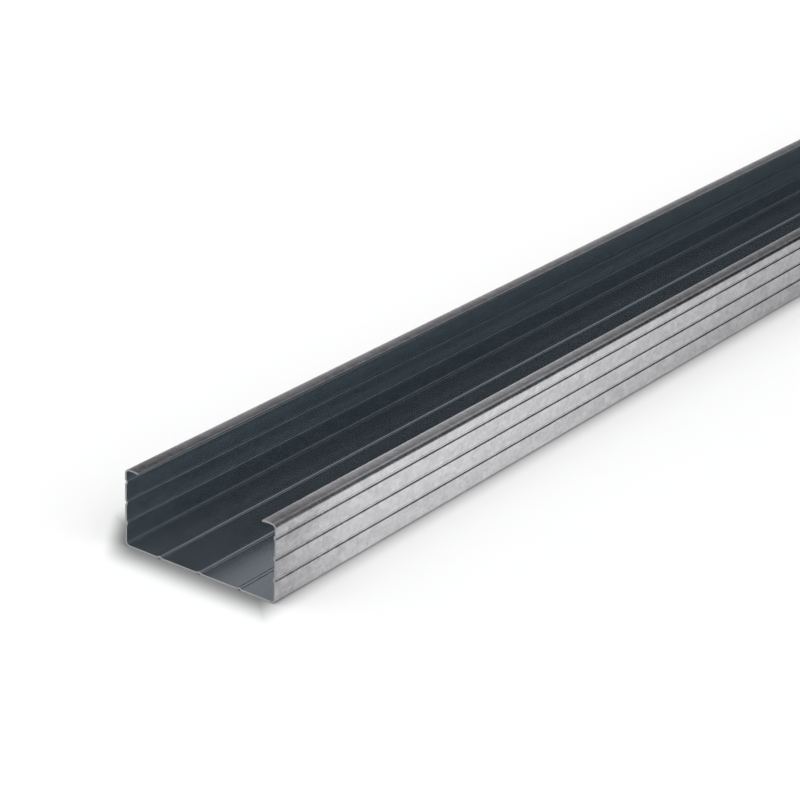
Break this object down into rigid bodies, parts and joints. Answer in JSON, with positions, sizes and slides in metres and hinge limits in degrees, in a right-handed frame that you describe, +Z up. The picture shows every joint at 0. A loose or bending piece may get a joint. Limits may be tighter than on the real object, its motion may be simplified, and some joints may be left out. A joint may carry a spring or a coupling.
{
  "type": "ceiling furring channel",
  "caption": "Long roll-formed galvanised steel C channel with inturned lips and pressed stiffening beads, hung below a ceiling to carry screwed boards.",
  "frame": {"origin": "middle of the length, centre of the web, on the level the channel lies on", "axes": "+X along the stock, +Y across the web, +Z up, out of the open side"},
  "size_m": [3, 0.06, 0.027],
  "materials": {
    "galvanised_steel": "bright hot-dip galvanised strip with fine rolling grain, bare cut edges"
  },
  "bodies": {
    "root": {"furring_channel": "galvanised_steel"}
  },
  "joints": []
}
